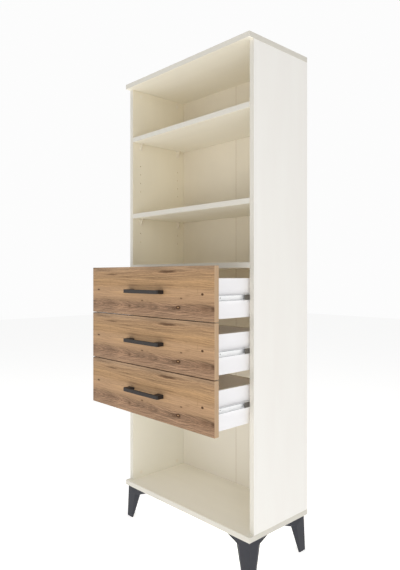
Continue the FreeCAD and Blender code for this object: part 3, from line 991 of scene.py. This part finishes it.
def addLeg(nodeName):
    work = meshOf(nodeName)
    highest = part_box("bottom_panel")[0].z - leg["topMargin"]
    ridges = [edge for edge in longerThan(sharpEdges(work, leg["ridge"]), leg["longEdge"])
              if max(vert.co.z for vert in edge.verts) < highest]
    rounded(work, ridges, leg["ease"], leg["easeSteps"])
    for vert in work.verts:
        vert.co.z = max(vert.co.z, 0.0)  # the foot stays on the floor
    name = "leg" + "".join(part.title() for part in nodeName.split("_")[1:])
    makePiece(work, name, "body", [legMoulding], nodeName)


def addShelfSupports():
    work = meshOf("shelf_supports")
    rounded(work, longerThan(sharpEdges(work), support["longEdge"]), support["ease"])
    makePiece(work, "shelfSupports", "body", [supportPlastic], "shelf_supports")


for nodeName in ("leg_front_left", "leg_front_right", "leg_rear_left", "leg_rear_right"):
    addLeg(nodeName)
addShelfSupports()
for nodeName, name in (("back_screws", "backScrews"), ("leg_screws", "legScrews"),
                       ("rail_screws", "railScrews")):
    withSockets(nodeName, name, "body", fastenerZinc)
for nodeName in ("cam_bolts", "cam_locks"):
    paint(nodeName, fastenerZinc)
paint("dowels", dowelBeech)
print("legs and fittings made")


# Camera, lamps, world and floor

studio = {
    "cameraPlace": (1.7452, -1.7083, 1.1669),
    "cameraTilt": 90,             # level
    "cameraTurn": 46.73,          # degrees from looking along +Y
    "focalPixels": 534.9,
    "imageHeight": 570,
    "sensor": 36.0,
    "shiftPixels": -9.72,
    "lampTone": (255, 254, 252),
    "lamps": (
        # name, place, target, size, watts
        ("keyLamp", (4.2, -3.0, 2.0), (0.2, 0.0, 1.2), 3.0, 56.0),
        ("leftLamp", (-3.0, -3.6, 1.4), (0.0, 0.0, 1.0), 2.5, 24.0),
        ("lowLamp", (1.0, -2.5, 0.4), (0.0, 0.0, 0.4), 1.0, 9.5),
        ("topLamp", (0.0, 0.9, 4.2), (0.0, 0.1, 2.1), 1.6, 22.0),
    ),
    "worldStrength": 0.35,
    "backdropSeen": 0.975,
    "floorSize": 24.0,
    "floorTone": (244, 244, 243),
    "floorRoughness": 0.9,
    "floorSeen": 0.62,            # glow of the floor as the camera sees it
    "floorLight": 0.82,           # and as it lights the bookcase from below
    "diffuseBounces": 12,         # pale open bays are lit by many bounces
}


def addCamera():
    lens = bpy.data.cameras.new("productCamera")
    lens.sensor_width = studio["sensor"]
    lens.lens = studio["focalPixels"] / studio["imageHeight"] * studio["sensor"]
    lens.shift_y = studio["shiftPixels"] / studio["imageHeight"]
    camera = link(bpy.data.objects.new("productCamera", lens))
    camera.location = studio["cameraPlace"]
    camera.rotation_euler = (math.radians(studio["cameraTilt"]), 0, math.radians(studio["cameraTurn"]))
    bpy.context.scene.camera = camera


def addLamps():
    for name, place, target, size, watts in studio["lamps"]:
        lamp = bpy.data.lights.new(name, "AREA")
        lamp.size = size
        lamp.energy = watts
        lamp.color = tone(*studio["lampTone"])[:3]
        holder = link(bpy.data.objects.new(name, lamp))
        holder.location = place
        aim = Vector(target) - Vector(place)
        holder.rotation_euler = aim.to_track_quat("-Z", "Y").to_euler()


def seenDirectly(tree):
    # 1 for what the camera sees, also in a reflection or through something clear
    path = addNode(tree, "LightPath")
    seen = calculate(tree, "MAXIMUM", path.outputs["Is Camera Ray"], path.outputs["Is Glossy Ray"])
    return calculate(tree, "MAXIMUM", seen, path.outputs["Is Transmission Ray"])


def addWorld():
    world = bpy.data.worlds.new("studioWorld")
    bpy.context.scene.world = world
    world.use_nodes = True
    tree = world.node_tree
    tree.nodes.clear()
    ambient = addNode(tree, "Background", {"Color": white, "Strength": studio["worldStrength"]})
    backdrop = addNode(tree, "Background", {"Color": white, "Strength": studio["backdropSeen"]})
    inputs = {0: seenDirectly(tree), 1: ambient.outputs[0], 2: backdrop.outputs[0]}
    mixed = addNode(tree, "MixShader", inputs)
    addNode(tree, "OutputWorld", {"Surface": mixed.outputs[0]})


def floorPaint():
    material, tree, surface = newMaterial("floorPaint", {"specular": 0.0})
    addColour(tree, surface, tone(*studio["floorTone"]))
    addRoughness(tree, surface, studio["floorRoughness"])
    feed(tree, surface.inputs["Emission Color"], white)
    inputs = {"Value": seenDirectly(tree), "To Min": studio["floorLight"], "To Max": studio["floorSeen"]}
    feed(tree, surface.inputs["Emission Strength"], addNode(tree, "MapRange", inputs).outputs[0])
    return material


def addFloor():
    sheet = bmesh.new()
    bmesh.ops.create_grid(sheet, x_segments=1, y_segments=1, size=studio["floorSize"] / 2)
    mesh = bpy.data.meshes.new("floor")
    sheet.to_mesh(mesh)
    sheet.free()
    mesh.materials.append(floorPaint())
    floor = link(bpy.data.objects.new("floor", mesh))


addCamera()
addLamps()
addWorld()
addFloor()
bpy.context.scene.view_settings.view_transform = "Standard"
bpy.context.scene.cycles.diffuse_bounces = studio["diffuseBounces"]
print("studio set")
